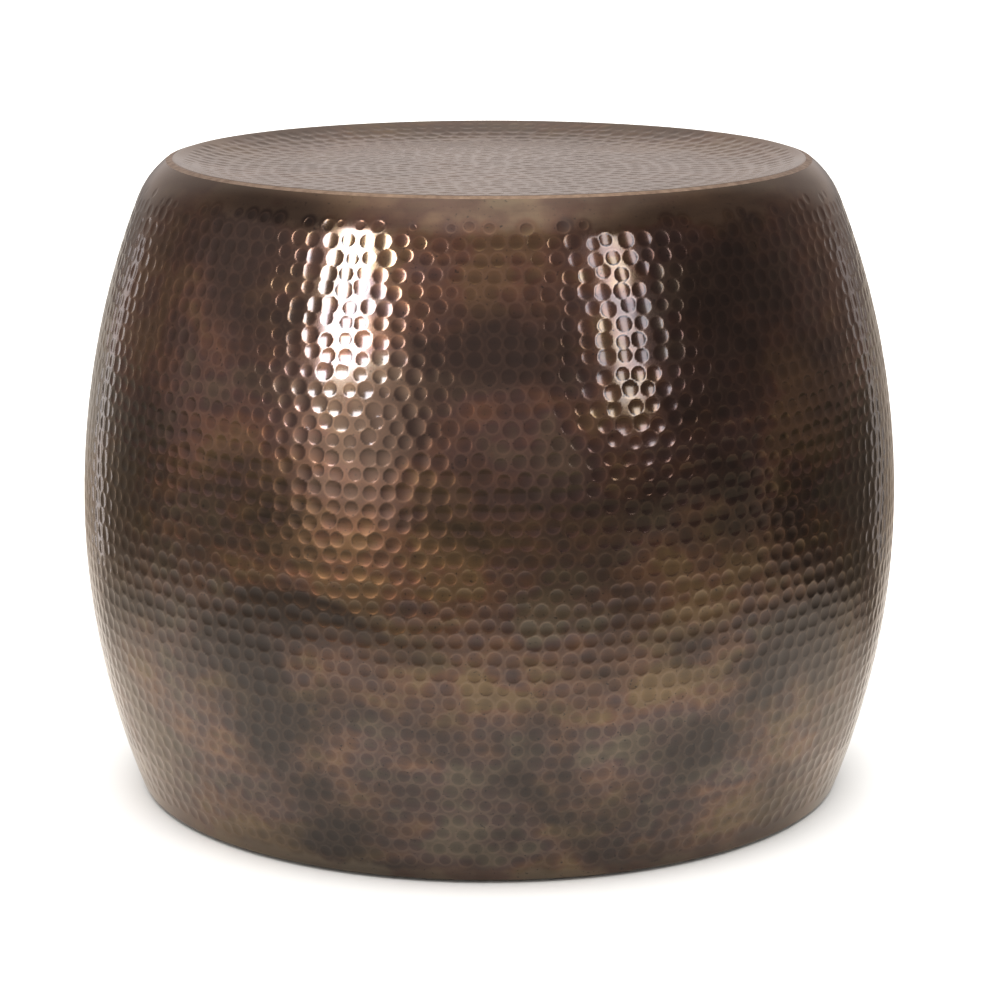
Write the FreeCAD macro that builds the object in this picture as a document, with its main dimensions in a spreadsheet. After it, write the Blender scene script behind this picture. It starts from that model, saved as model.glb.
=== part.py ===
import FreeCAD, Part
import Sketcher
import math
import os

# Drum side table: a barrel of two brazed copper shells with a dished tray top,
# braced under the tray and standing on a riveted base ring with push-in feet.
# Millimetres, +Z up, origin on the floor under the centre of the drum.

doc = FreeCAD.newDocument("drum_side_table")
dims = doc.addObject("Spreadsheet::Sheet", "dims")

SIZES = {
    # barrel
    "waist_dia": 580,
    "waist_height": 201,
    "table_height": 450,
    "base_inset": 37,
    "shoulder_inset": 43,
    "shoulder_drop": 28,
    "rim_inset": 20.5,
    "sheet_gauge": 1.2,
    "braze_gap": 0.15,
    # lapped joint at the waist
    "lap_depth": 12,
    "fillet_leg": 1.5,
    "fillet_gap": 0.05,
    # tray and its turned-down edge
    "dish_depth": 10,
    "dish_sweep": 180,
    "rim_bend": 3,
    "edge_drop": 1.6,
    "skirt_depth": 12,
    "braze_wrap": 8,
    # brace under the tray
    "hoop_setback": 14,
    "hoop_height": 25,
    "hoop_gauge": 3,
    "bar_gauge": 4,
    "notch_gap": 0.3,
    # turned-in foot flange and base ring
    "foot_gap": 1.5,
    "base_bend": 4,
    "flange_width": 28,
    "ring_setback": 1.5,
    "ring_thickness": 3,
    # push-in feet
    "foot_dia": 20,
    "stem_dia": 8,
    "stem_gap": 0.1,
    "barb_dia": 11,
    "barb_tip_dia": 6,
    "barb_height": 4,
    # rivets through the base ring
    "rivet_dia": 4,
    "rivet_gap": 0.1,
    "rivet_head_dia": 8,
    "rivet_head_height": 2,
    "rivet_tail_lift": 0.6,
}
FOOT_COUNT = 6
RIVET_COUNT = 6
HALF_STEP = 180 / RIVET_COUNT

for row, (alias, size) in enumerate(SIZES.items(), 1):
    dims.set(f"A{row}", str(size))
    dims.setAlias(f"A{row}", alias)
doc.recompute()

# Worked-out sizes, written once as expressions of the sheet's cells.
WAIST_R = "(dims.waist_dia / 2)"
GAUGE = "dims.sheet_gauge"
LAPPED = "(dims.sheet_gauge + dims.braze_gap)"

SHOULDER_R = f"({WAIST_R} - dims.shoulder_inset)"
SHOULDER_Z = "(dims.table_height - dims.shoulder_drop)"
EDGE_R = f"({SHOULDER_R} - dims.rim_inset)"
EDGE_Z = "(dims.table_height - dims.edge_drop)"
UPPER_RISE = f"({SHOULDER_Z} - dims.waist_height)"
UPPER_BULGE = f"((dims.shoulder_inset ^ 2 + {UPPER_RISE} ^ 2) / (2 * dims.shoulder_inset))"
FILLET_BULGE = f"({UPPER_BULGE} - {GAUGE} - dims.fillet_gap)"
LEAN = f"(2 * atan(dims.shoulder_inset / {UPPER_RISE}))"
EDGE_RISE = f"({EDGE_Z} - {SHOULDER_Z})"
SHOULDER_BULGE = (
    f"((dims.rim_inset ^ 2 + {EDGE_RISE} ^ 2)"
    f" / (2 * (dims.rim_inset * cos({LEAN}) - {EDGE_RISE} * sin({LEAN}))))"
)
SHOULDER_CR = f"({SHOULDER_R} - {SHOULDER_BULGE} * cos({LEAN}))"
SHOULDER_CZ = f"({SHOULDER_Z} - {SHOULDER_BULGE} * sin({LEAN}))"

SKIRT_BULGE = f"({SHOULDER_BULGE} - {LAPPED})"
BEND_Z = "(dims.table_height - dims.rim_bend)"
BEND_R = (
    f"({SHOULDER_CR} + sqrt(({SKIRT_BULGE} - dims.rim_bend) ^ 2"
    f" - ({BEND_Z} - {SHOULDER_CZ}) ^ 2))"
)
BEND_TURN = f"atan2({BEND_Z} - {SHOULDER_CZ}; {BEND_R} - {SHOULDER_CR})"
BEAD_Z = f"({BEND_Z} + dims.rim_bend * sin({BEND_TURN} + dims.braze_wrap * 1 deg))"
FLOOR_Z = "(dims.table_height - dims.dish_depth)"
FLOOR_R = (
    f"({BEND_R} - sqrt(2 * (dims.dish_sweep + dims.rim_bend) * dims.dish_depth"
    f" - dims.dish_depth ^ 2))"
)
TRAY_UNDER = f"({FLOOR_Z} - {GAUGE})"

BASE_R = f"({WAIST_R} - dims.base_inset)"
LOWER_RISE = "(dims.waist_height - dims.foot_gap)"
LOWER_BULGE = f"((dims.base_inset ^ 2 + {LOWER_RISE} ^ 2) / (2 * dims.base_inset))"
BASE_BEND_Z = "(dims.foot_gap + dims.base_bend)"
BASE_BEND_R = (
    f"({WAIST_R} - {LOWER_BULGE} + sqrt(({LOWER_BULGE} - dims.base_bend) ^ 2"
    f" - (dims.waist_height - {BASE_BEND_Z}) ^ 2))"
)
FLANGE_R = f"({BASE_R} - dims.flange_width)"
FLANGE_TOP = f"(dims.foot_gap + {GAUGE})"
RING_IN_R = f"({FLANGE_R} + dims.ring_setback)"
RING_OUT_R = f"({BASE_BEND_R} - dims.ring_setback)"
RING_TOP = f"({FLANGE_TOP} + dims.ring_thickness)"
HOLE_R = f"(({RING_IN_R} + {RING_OUT_R}) / 2)"

HOOP_R = f"({FLOOR_R} - dims.hoop_setback)"
HOOP_BASE = f"({TRAY_UNDER} - dims.hoop_height)"
BAR_REACH = f"({HOOP_R} - dims.hoop_gauge - dims.braze_gap)"


def value(expression):
    return float(dims.evalExpression(expression))


def origin_plane(body, role):
    return next(f for f in body.Origin.OriginFeatures if f.Role == role)


def new_body(label):
    body = doc.addObject("PartDesign::Body", label)
    body.Label = label
    return body


def new_sketch(body, name, plane):
    sketch = body.newObject("Sketcher::SketchObject", name)
    sketch.AttachmentSupport = (origin_plane(body, plane), [""])
    sketch.MapMode = "FlatFace"
    return sketch


def spot(r, z):
    return FreeCAD.Vector(r, z, 0)


class Outline:
    # A closed outline, drawn piece by piece in the half plane of radius and height.

    def __init__(self, sketch):
        self.sketch = sketch
        self.pieces = []
        self.smooth = set()

    def line(self, start, end):
        index = self.sketch.addGeometry(Part.LineSegment(spot(*start), spot(*end)))
        self.pieces.append((index, 1, 2))
        return index

    def arc(self, centre, radius, first, last, smooth=False):
        # Angles in degrees. A smooth arc is tangent to the piece drawn before it.
        circle = Part.Circle(spot(*centre), FreeCAD.Vector(0, 0, 1), radius)
        low, high = sorted((math.radians(first), math.radians(last)))
        index = self.sketch.addGeometry(Part.ArcOfCircle(circle, low, high))
        ends = (1, 2) if last > first else (2, 1)
        if smooth:
            self.smooth.add(len(self.pieces))
        self.pieces.append((index, *ends))
        return index

    def close(self):
        for place, (index, start, _) in enumerate(self.pieces):
            before, _, end = self.pieces[place - 1]
            kind = "Tangent" if place in self.smooth else "Coincident"
            self.sketch.addConstraint(Sketcher.Constraint(kind, before, end, index, start))

    def share_centre(self, first, second):
        self.sketch.addConstraint(Sketcher.Constraint("Coincident", first, 3, second, 3))

    def on_axis(self, piece, end):
        # One end of a piece stays on the drum's axis, which is the sketch's own upright axis.
        self.sketch.addConstraint(Sketcher.Constraint("PointOnObject", piece, end, -2))

    def rule(self, kind, *places):
        self.sketch.addConstraint(Sketcher.Constraint(kind, *places))

    def set(self, name, kind, *places, to):
        # A named size, bound to an expression of the sheet's cells.
        number = self.sketch.addConstraint(Sketcher.Constraint(kind, *places, value(to)))
        self.sketch.renameConstraint(number, name)
        self.sketch.setExpression(f"Constraints.{name}", to)


def spin(body, sketch):
    doc.recompute()
    turned = body.newObject("PartDesign::Revolution", f"{body.Name}_turned")
    turned.Profile = sketch
    turned.ReferenceAxis = (sketch, ["V_Axis"])
    turned.Angle = 360
    doc.recompute()
    return turned


def polar(base, angle, radius):
    return (
        base[0] + radius * math.cos(math.radians(angle)),
        base[1] + radius * math.sin(math.radians(angle)),
    )


def bearing(base, point):
    return math.degrees(math.atan2(point[1] - base[1], point[0] - base[0]))


def make_upper_shell():
    # Upper half of the barrel: a long bulge from the waist, then the smooth shoulder.
    body = new_body("upper_shell")
    sketch = new_sketch(body, "upper_shell_profile", "XZ_Plane")
    gauge = value(GAUGE)
    bulge = value(UPPER_BULGE)
    waist = (value(WAIST_R), value("dims.waist_height"))
    barrel = (waist[0] - bulge, waist[1])
    round_over = value(SHOULDER_BULGE)
    shoulder = (value(SHOULDER_CR), value(SHOULDER_CZ))
    lean = value(LEAN)
    edge = (value(EDGE_R), value(EDGE_Z))
    finish = bearing(shoulder, edge)

    shape = Outline(sketch)
    wall = shape.arc(barrel, bulge, 0, lean)
    turn = shape.arc(shoulder, round_over, lean, finish, smooth=True)
    top = shape.line(edge, polar(shoulder, finish, round_over - gauge))
    turn_in = shape.arc(shoulder, round_over - gauge, finish, lean)
    wall_in = shape.arc(barrel, bulge - gauge, lean, 0, smooth=True)
    foot = shape.line((waist[0] - gauge, waist[1]), waist)
    shape.close()
    shape.share_centre(wall, wall_in)
    shape.share_centre(turn, turn_in)
    shape.rule("PointOnObject", turn, 3, top)
    shape.rule("Horizontal", foot)
    shape.set("waist_radius", "DistanceX", -1, 1, wall, 1, to=WAIST_R)
    shape.set("waist_height", "DistanceY", -1, 1, wall, 1, to="dims.waist_height")
    shape.set("barrel_centre", "DistanceY", -1, 1, wall, 3, to="dims.waist_height")
    shape.set("shoulder_radius", "DistanceX", -1, 1, wall, 2, to=SHOULDER_R)
    shape.set("shoulder_height", "DistanceY", -1, 1, wall, 2, to=SHOULDER_Z)
    shape.set("edge_radius", "DistanceX", -1, 1, turn, 2, to=EDGE_R)
    shape.set("edge_height", "DistanceY", -1, 1, turn, 2, to=EDGE_Z)
    shape.set("wall", "DistanceX", foot, 1, foot, 2, to=GAUGE)
    spin(body, sketch)
    return body


def make_lower_shell():
    # Lower half: stepped-in lap at the waist, bulge, then the flange turned in under it.
    body = new_body("lower_shell")
    sketch = new_sketch(body, "lower_shell_profile", "XZ_Plane")
    gauge = value(GAUGE)
    bulge = value(LOWER_BULGE)
    waist = (value(WAIST_R), value("dims.waist_height"))
    barrel = (waist[0] - bulge, waist[1])
    bend = value("dims.base_bend")
    corner = (value(BASE_BEND_R), value(BASE_BEND_Z))
    under = value("dims.foot_gap")
    inner = value(FLANGE_R)
    meet = bearing(barrel, corner)
    tongue = waist[0] - value(LAPPED)
    lap_top = waist[1] + value("dims.lap_depth")
    ramp_top = waist[1] - gauge / 2
    ramp_low = ramp_top - value(LAPPED)
    ramp_angle = bearing(barrel, (waist[0] - gauge, ramp_low))
    ramp_foot = polar(barrel, ramp_angle, bulge - gauge)

    shape = Outline(sketch)
    sole = shape.line((inner, under), (corner[0], under))
    curl = shape.arc(corner, bend, -90, meet, smooth=True)
    wall = shape.arc(barrel, bulge, meet, 0, smooth=True)
    ledge = shape.line(waist, (tongue, waist[1]))
    lap_out = shape.line((tongue, waist[1]), (tongue, lap_top))
    lap_end = shape.line((tongue, lap_top), (tongue - gauge, lap_top))
    lap_in = shape.line((tongue - gauge, lap_top), (tongue - gauge, ramp_top))
    ramp = shape.line((tongue - gauge, ramp_top), ramp_foot)
    wall_in = shape.arc(barrel, bulge - gauge, ramp_angle, meet)
    curl_in = shape.arc(corner, bend - gauge, meet, -90, smooth=True)
    flange = shape.line((corner[0], under + gauge), (inner, under + gauge))
    hem = shape.line((inner, under + gauge), (inner, under))
    shape.close()
    shape.share_centre(wall, wall_in)
    shape.share_centre(curl, curl_in)
    shape.rule("Horizontal", sole)
    shape.rule("Horizontal", ledge)
    shape.rule("Vertical", lap_out)
    shape.rule("Horizontal", lap_end)
    shape.rule("Vertical", lap_in)
    shape.rule("Horizontal", flange)
    shape.rule("Vertical", hem)
    shape.set("waist_radius", "DistanceX", -1, 1, wall, 2, to=WAIST_R)
    shape.set("waist_height", "DistanceY", -1, 1, wall, 2, to="dims.waist_height")
    shape.set("barrel_centre", "DistanceY", -1, 1, wall, 3, to="dims.waist_height")
    shape.set("bulge", "Radius", wall, to=LOWER_BULGE)
    shape.set("bend", "Radius", curl, to="dims.base_bend")
    shape.set("sole_height", "DistanceY", -1, 1, sole, 1, to="dims.foot_gap")
    shape.set("mouth_radius", "DistanceX", -1, 1, sole, 1, to=FLANGE_R)
    shape.set("flange_gauge", "DistanceY", hem, 2, hem, 1, to=GAUGE)
    shape.set("lap_step", "DistanceX", ledge, 2, ledge, 1, to=LAPPED)
    shape.set("lap_depth", "DistanceY", lap_out, 1, lap_out, 2, to="dims.lap_depth")
    shape.set("lap_gauge", "DistanceX", lap_end, 2, lap_end, 1, to=GAUGE)
    shape.set("ramp_top", "DistanceY", lap_in, 2, ledge, 2, to=f"({GAUGE} / 2)")
    shape.set("ramp_drop", "DistanceY", ramp, 2, ramp, 1, to=LAPPED)
    spin(body, sketch)
    drill(body, "foot_holes", "dims.stem_dia / 2 + dims.stem_gap", 0, FOOT_COUNT)
    drill(body, "rivet_holes", "dims.rivet_dia / 2 + dims.rivet_gap", HALF_STEP, RIVET_COUNT)
    return body


def drill(body, name, radius, angle, count):
    # A ring of round holes on the hole circle, cut upwards through a flange or ring.
    before = body.Shape.Volume
    sketch = new_sketch(body, f"{body.Name}_{name}_sketch", "XY_Plane")
    centre = polar((0, 0), angle, value(HOLE_R))
    circle = Part.Circle(spot(*centre), FreeCAD.Vector(0, 0, 1), value(radius))
    hole = sketch.addGeometry(circle)
    shape = Outline(sketch)
    shape.set("bore", "Radius", hole, to=radius)
    shape.set("across", "DistanceX", -1, 1, hole, 3, to=f"{HOLE_R} * cos({angle})")
    if angle:
        shape.set("along", "DistanceY", -1, 1, hole, 3, to=f"{HOLE_R} * sin({angle})")
    else:
        shape.rule("PointOnObject", hole, 3, -1)
    doc.recompute()
    pocket = body.newObject("PartDesign::Pocket", f"{body.Name}_{name}")
    pocket.Profile = sketch
    pocket.Reversed = True
    pocket.setExpression("Length", RING_TOP)
    doc.recompute()
    ring = body.newObject("PartDesign::PolarPattern", f"{body.Name}_{name}_ring")
    ring.Originals = [pocket]
    ring.Axis = (sketch, ["N_Axis"])
    ring.Angle = 360
    ring.Occurrences = count
    body.Tip = ring
    doc.recompute()
    if body.Shape.Volume >= before:
        raise RuntimeError(f"{name} cut nothing from {body.Label}")


def make_top_tray():
    # Flat floor, sweep up to the rim, tight bend over the crest and a skirt inside the shoulder.
    body = new_body("top_tray")
    sketch = new_sketch(body, "top_tray_profile", "XZ_Plane")
    gauge = value(GAUGE)
    floor = (value(FLOOR_R), value(FLOOR_Z))
    sweep = value("dims.dish_sweep")
    dish = (floor[0], floor[1] + sweep)
    bend = value("dims.rim_bend")
    crest = (value(BEND_R), value(BEND_Z))
    bulge = value(SKIRT_BULGE)
    shoulder = (value(SHOULDER_CR), value(SHOULDER_CZ))
    rise = bearing(dish, crest)
    turn = bearing(shoulder, crest)
    tip = turn - math.degrees(value("dims.skirt_depth") / bulge)

    shape = Outline(sketch)
    floor_top = shape.line((0, floor[1]), floor)
    sweep_top = shape.arc(dish, sweep, -90, rise, smooth=True)
    bend_top = shape.arc(crest, bend, rise + 180, turn, smooth=True)
    skirt_out = shape.arc(shoulder, bulge, turn, tip, smooth=True)
    skirt_end = shape.line(polar(shoulder, tip, bulge), polar(shoulder, tip, bulge - gauge))
    skirt_in = shape.arc(shoulder, bulge - gauge, tip, turn)
    bend_in = shape.arc(crest, bend - gauge, turn, rise + 180, smooth=True)
    sweep_in = shape.arc(dish, sweep + gauge, rise, -90, smooth=True)
    floor_in = shape.line((floor[0], floor[1] - gauge), (0, floor[1] - gauge))
    axis = shape.line((0, floor[1] - gauge), (0, floor[1]))
    shape.close()
    shape.share_centre(sweep_top, sweep_in)
    shape.share_centre(bend_top, bend_in)
    shape.share_centre(skirt_out, skirt_in)
    shape.rule("Horizontal", floor_top)
    shape.rule("Horizontal", floor_in)
    shape.rule("Vertical", axis)
    shape.on_axis(axis, 1)
    shape.rule("PointOnObject", skirt_out, 3, skirt_end)
    shape.set("floor_height", "DistanceY", -1, 1, axis, 2, to=FLOOR_Z)
    shape.set("floor_gauge", "DistanceY", axis, 1, axis, 2, to=GAUGE)
    shape.set("dish_sweep", "Radius", sweep_top, to="dims.dish_sweep")
    shape.set("rim_bend", "Radius", bend_top, to="dims.rim_bend")
    shape.set("crest_height", "DistanceY", -1, 1, bend_top, 3, to=BEND_Z)
    shape.set("shoulder_centre_r", "DistanceX", -1, 1, skirt_out, 3, to=SHOULDER_CR)
    shape.set("shoulder_centre_z", "DistanceY", -1, 1, skirt_out, 3, to=SHOULDER_CZ)
    shape.set("skirt_bulge", "Radius", skirt_out, to=SKIRT_BULGE)
    chord = f"(2 * {SKIRT_BULGE} * sin(dims.skirt_depth / (2 * {SKIRT_BULGE}) * 180 / pi))"
    shape.set("skirt_depth", "Distance", skirt_out, 1, skirt_out, 2, to=chord)
    spin(body, sketch)
    return body


def make_rim_braze():
    # Bead that fills the notch between the shell's top edge and the bend of the tray.
    body = new_body("rim_braze")
    sketch = new_sketch(body, "rim_braze_profile", "XZ_Plane")
    shoulder = (value(SHOULDER_CR), value(SHOULDER_CZ))
    bulge = value(SKIRT_BULGE)
    crest = (value(BEND_R), value(BEND_Z))
    bend = value("dims.rim_bend")
    edge = (value(EDGE_R), value(EDGE_Z))
    start = bearing(shoulder, edge)
    turn = bearing(shoulder, crest)
    wrap = turn + value("dims.braze_wrap")

    shape = Outline(sketch)
    seat = shape.line(edge, polar(shoulder, start, bulge))
    along = shape.arc(shoulder, bulge, start, turn)
    over = shape.arc(crest, bend, turn, wrap, smooth=True)
    face = shape.line(polar(crest, wrap, bend), edge)
    shape.close()
    shape.rule("PointOnObject", along, 3, seat)
    shape.set("edge_radius", "DistanceX", -1, 1, seat, 1, to=EDGE_R)
    shape.set("edge_height", "DistanceY", -1, 1, seat, 1, to=EDGE_Z)
    shape.set("shoulder_centre_r", "DistanceX", -1, 1, along, 3, to=SHOULDER_CR)
    shape.set("shoulder_centre_z", "DistanceY", -1, 1, along, 3, to=SHOULDER_CZ)
    shape.set("skirt_bulge", "Radius", along, to=SKIRT_BULGE)
    shape.set("rim_bend", "Radius", over, to="dims.rim_bend")
    shape.set("crest_height", "DistanceY", -1, 1, over, 3, to=BEND_Z)
    shape.set("bead_top", "DistanceY", -1, 1, face, 1, to=BEAD_Z)
    spin(body, sketch)
    return body


def make_waist_braze():
    # Fillet of braze on the inside, between the lap's end and the upper shell.
    body = new_body("waist_braze")
    sketch = new_sketch(body, "waist_braze_profile", "XZ_Plane")
    bulge = value(UPPER_BULGE)
    leg = value("dims.fillet_leg")
    barrel = (value(WAIST_R) - bulge, value("dims.waist_height"))
    low = barrel[1] + value("dims.lap_depth")
    skin = value(FILLET_BULGE)
    first = math.degrees(math.asin((low - barrel[1]) / skin))
    last = math.degrees(math.asin((low + leg - barrel[1]) / skin))
    root = polar(barrel, first, skin)

    shape = Outline(sketch)
    seat = shape.line((root[0] - leg, low), root)
    back = shape.arc(barrel, skin, first, last)
    face = shape.line(polar(barrel, last, skin), (root[0] - leg, low))
    shape.close()
    shape.rule("Horizontal", seat)
    shape.set("skin", "Radius", back, to=FILLET_BULGE)
    shape.set("barrel_centre_z", "DistanceY", -1, 1, back, 3, to="dims.waist_height")
    shape.set("barrel_centre_r", "DistanceX", back, 3, -1, 1, to=f"({UPPER_BULGE} - {WAIST_R})")
    shape.set("seat_height", "DistanceY", -1, 1, seat, 1, to="(dims.waist_height + dims.lap_depth)")
    shape.set("leg_in", "DistanceX", seat, 1, seat, 2, to="dims.fillet_leg")
    shape.set("leg_up", "DistanceY", seat, 2, face, 1, to="dims.fillet_leg")
    spin(body, sketch)
    return body


def cylinder(name, radius, height, base):
    piece = doc.addObject("Part::Cylinder", name)
    piece.setExpression("Radius", radius)
    piece.setExpression("Height", height)
    piece.setExpression(".Placement.Base.z", base)
    return piece


def box(name, length, width, height, base):
    # A box centred on the axis of the drum.
    piece = doc.addObject("Part::Box", name)
    piece.setExpression("Length", length)
    piece.setExpression("Width", width)
    piece.setExpression("Height", height)
    piece.setExpression(".Placement.Base.x", f"-({length}) / 2")
    piece.setExpression(".Placement.Base.y", f"-({width}) / 2")
    piece.setExpression(".Placement.Base.z", base)
    return piece


def combine(kind, label, base, tool):
    piece = doc.addObject(f"Part::{kind}", label)
    piece.Label = label
    piece.Base = base
    piece.Tool = tool
    return piece


def make_brace_hoop():
    # Flat bar rolled on edge, brazed under the flat of the tray.
    outside = cylinder("hoop_outside", HOOP_R, "dims.hoop_height", HOOP_BASE)
    bore = cylinder("hoop_bore", f"{HOOP_R} - dims.hoop_gauge", "dims.hoop_height", HOOP_BASE)
    return combine("Cut", "brace_hoop", outside, bore)


def make_brace_bar(label, along_x):
    # Flat bar on edge across the hoop, its ends rounded to the bore, half-lapped at the centre.
    reach = f"2 * {BAR_REACH}"
    notch = "dims.bar_gauge + 2 * dims.notch_gap"
    half = "dims.hoop_height / 2 + dims.notch_gap / 2"
    if along_x:
        blank = box(f"{label}_blank", reach, "dims.bar_gauge", "dims.hoop_height", HOOP_BASE)
        start = f"{HOOP_BASE} + dims.hoop_height / 2 - dims.notch_gap / 2"
    else:
        blank = box(f"{label}_blank", "dims.bar_gauge", reach, "dims.hoop_height", HOOP_BASE)
        start = HOOP_BASE
    bore = cylinder(f"{label}_bore", BAR_REACH, "dims.hoop_height", HOOP_BASE)
    rounded = combine("Common", f"{label}_rounded", blank, bore)
    slot = box(f"{label}_slot", notch, notch, half, start)
    return combine("Cut", label, rounded, slot)


def make_base_ring():
    # Flat steel ring on the turned-in flange, drilled with it for the feet and rivets.
    body = new_body("base_ring")
    sketch = new_sketch(body, "base_ring_profile", "XZ_Plane")
    inner = value(RING_IN_R)
    outer = value(RING_OUT_R)
    low = value(FLANGE_TOP)
    high = value(RING_TOP)
    shape = Outline(sketch)
    under = shape.line((inner, low), (outer, low))
    outside = shape.line((outer, low), (outer, high))
    over = shape.line((outer, high), (inner, high))
    inside = shape.line((inner, high), (inner, low))
    shape.close()
    shape.rule("Horizontal", under)
    shape.rule("Vertical", outside)
    shape.rule("Horizontal", over)
    shape.rule("Vertical", inside)
    shape.set("inner_radius", "DistanceX", -1, 1, under, 1, to=RING_IN_R)
    shape.set("outer_radius", "DistanceX", -1, 1, under, 2, to=RING_OUT_R)
    shape.set("seat_height", "DistanceY", -1, 1, under, 1, to=FLANGE_TOP)
    shape.set("thickness", "DistanceY", outside, 1, outside, 2, to="dims.ring_thickness")
    spin(body, sketch)
    drill(body, "foot_holes", "dims.stem_dia / 2 + dims.stem_gap", 0, FOOT_COUNT)
    drill(body, "rivet_holes", "dims.rivet_dia / 2 + dims.rivet_gap", HALF_STEP, RIVET_COUNT)
    return body


def turned_pin(name, angle, steps):
    # Stacked cylinders and cones on one upright axis at the hole circle.
    sections = []
    for place, (low, high, low_radius, high_radius) in enumerate(steps):
        if low_radius == high_radius:
            piece = cylinder(f"{name}_section_{place}", low_radius, f"({high}) - ({low})", low)
        else:
            piece = doc.addObject("Part::Cone", f"{name}_section_{place}")
            piece.setExpression("Radius1", low_radius)
            piece.setExpression("Radius2", high_radius)
            piece.setExpression("Height", f"({high}) - ({low})")
            piece.setExpression(".Placement.Base.z", low)
        piece.setExpression(".Placement.Base.x", f"{HOLE_R} * cos({angle})")
        piece.setExpression(".Placement.Base.y", f"{HOLE_R} * sin({angle})")
        sections.append(piece)
    pin = doc.addObject("Part::MultiFuse", name)
    pin.Label = name
    pin.Shapes = sections
    pin.Refine = True
    return pin


def make_foot(number):
    # Rubber glide with a stem pushed up through flange and ring, held by its barb.
    pad = "dims.foot_dia / 2"
    stem = "dims.stem_dia / 2"
    seat = f"({RING_TOP} + dims.stem_gap)"
    steps = [
        ("0", "dims.foot_gap", pad, pad),
        ("dims.foot_gap", seat, stem, stem),
        (seat, f"{seat} + dims.barb_height", "dims.barb_dia / 2", "dims.barb_tip_dia / 2"),
    ]
    return turned_pin(f"foot_{number + 1}", number * 360 / FOOT_COUNT, steps)


def make_base_rivets():
    # Rivets between the feet: flat tail under the flange, shank, low domed head on the ring.
    head = "dims.rivet_head_dia / 2"
    shank = "dims.rivet_dia / 2"
    steps = [
        ("dims.rivet_tail_lift", "dims.foot_gap", head, head),
        ("dims.foot_gap", RING_TOP, shank, shank),
        (RING_TOP, f"{RING_TOP} + dims.rivet_head_height", head, shank),
    ]
    group = doc.addObject("Part::Compound", "base_rivets")
    group.Label = "base_rivets"
    group.Links = [
        turned_pin(f"rivet_{n + 1}", HALF_STEP + n * 360 / RIVET_COUNT, steps)
        for n in range(RIVET_COUNT)
    ]
    return group


pieces = [
    make_upper_shell(),
    make_lower_shell(),
    make_top_tray(),
    make_rim_braze(),
    make_waist_braze(),
    make_brace_hoop(),
    make_brace_bar("brace_bar_long", True),
    make_brace_bar("brace_bar_cross", False),
    make_base_ring(),
    make_base_rivets(),
]
pieces += [make_foot(number) for number in range(FOOT_COUNT)]
doc.recompute()

for thing in doc.Objects:
    if "Invalid" in thing.State or "Error" in thing.State:
        raise RuntimeError(f"{thing.Label} failed: {thing.State}")
for piece in pieces:
    if piece.Shape.isNull() or not piece.Shape.isValid():
        raise RuntimeError(f"{piece.Label} has no valid shape")

os.makedirs("parts", exist_ok=True)
for piece in pieces:
    piece.Shape.exportStep(f"parts/{piece.Label}.step")
    print(f"{piece.Label}: {len(piece.Shape.Solids)} solid, {piece.Shape.Volume:.0f} mm3")
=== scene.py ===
import bpy
import math
import numpy as np
from functools import partial
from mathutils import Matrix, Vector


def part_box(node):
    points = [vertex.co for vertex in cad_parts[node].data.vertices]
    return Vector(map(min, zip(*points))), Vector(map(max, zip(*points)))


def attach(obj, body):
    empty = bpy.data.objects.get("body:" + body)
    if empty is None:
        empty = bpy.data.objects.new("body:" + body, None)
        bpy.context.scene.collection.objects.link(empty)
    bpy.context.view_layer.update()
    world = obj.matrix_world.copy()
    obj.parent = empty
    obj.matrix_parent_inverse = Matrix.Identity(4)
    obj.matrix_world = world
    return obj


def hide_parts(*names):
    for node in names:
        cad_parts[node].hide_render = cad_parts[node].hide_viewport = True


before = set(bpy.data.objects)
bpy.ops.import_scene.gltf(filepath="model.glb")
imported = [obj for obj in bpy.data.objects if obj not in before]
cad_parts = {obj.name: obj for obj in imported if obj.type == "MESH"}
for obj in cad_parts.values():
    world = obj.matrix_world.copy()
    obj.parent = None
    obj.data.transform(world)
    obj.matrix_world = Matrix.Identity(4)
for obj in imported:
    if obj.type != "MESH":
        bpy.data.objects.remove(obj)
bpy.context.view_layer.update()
print("frame loaded:", len(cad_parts), "nodes")

mm = 0.001
sameSpot = 1e-7  # mm, path points nearer than this are one
cutSpot = 1e-4   # mm, and corners of a cut face
weldDigits = 5   # decimals of a mm at which mesh points are welded
tiny = 1e-12     # against a division by nothing
nudge = 0.4      # mm to either side, the steps that give a surface's normals
smooth = {"interpolation_type": "SMOOTHSTEP"}  # settings that several shader nodes share
colours = {"data_type": "RGBA"}
product = {"operation": "MULTIPLY"}
noiseSpan = {"From Min": 0.3, "From Max": 0.7}  # where most of a noise lies


def hexColour(code):
    # sRGB hex to linear light, a straight foot and then a power of 2.4, with full alpha
    parts = np.array([int(code[i:i + 2], 16) for i in (1, 3, 5)]) / 255
    linear = np.where(parts <= 0.04045, parts / 12.92, ((parts + 0.055) / 1.055) ** 2.4)
    return (*linear.tolist(), 1.0)


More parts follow.
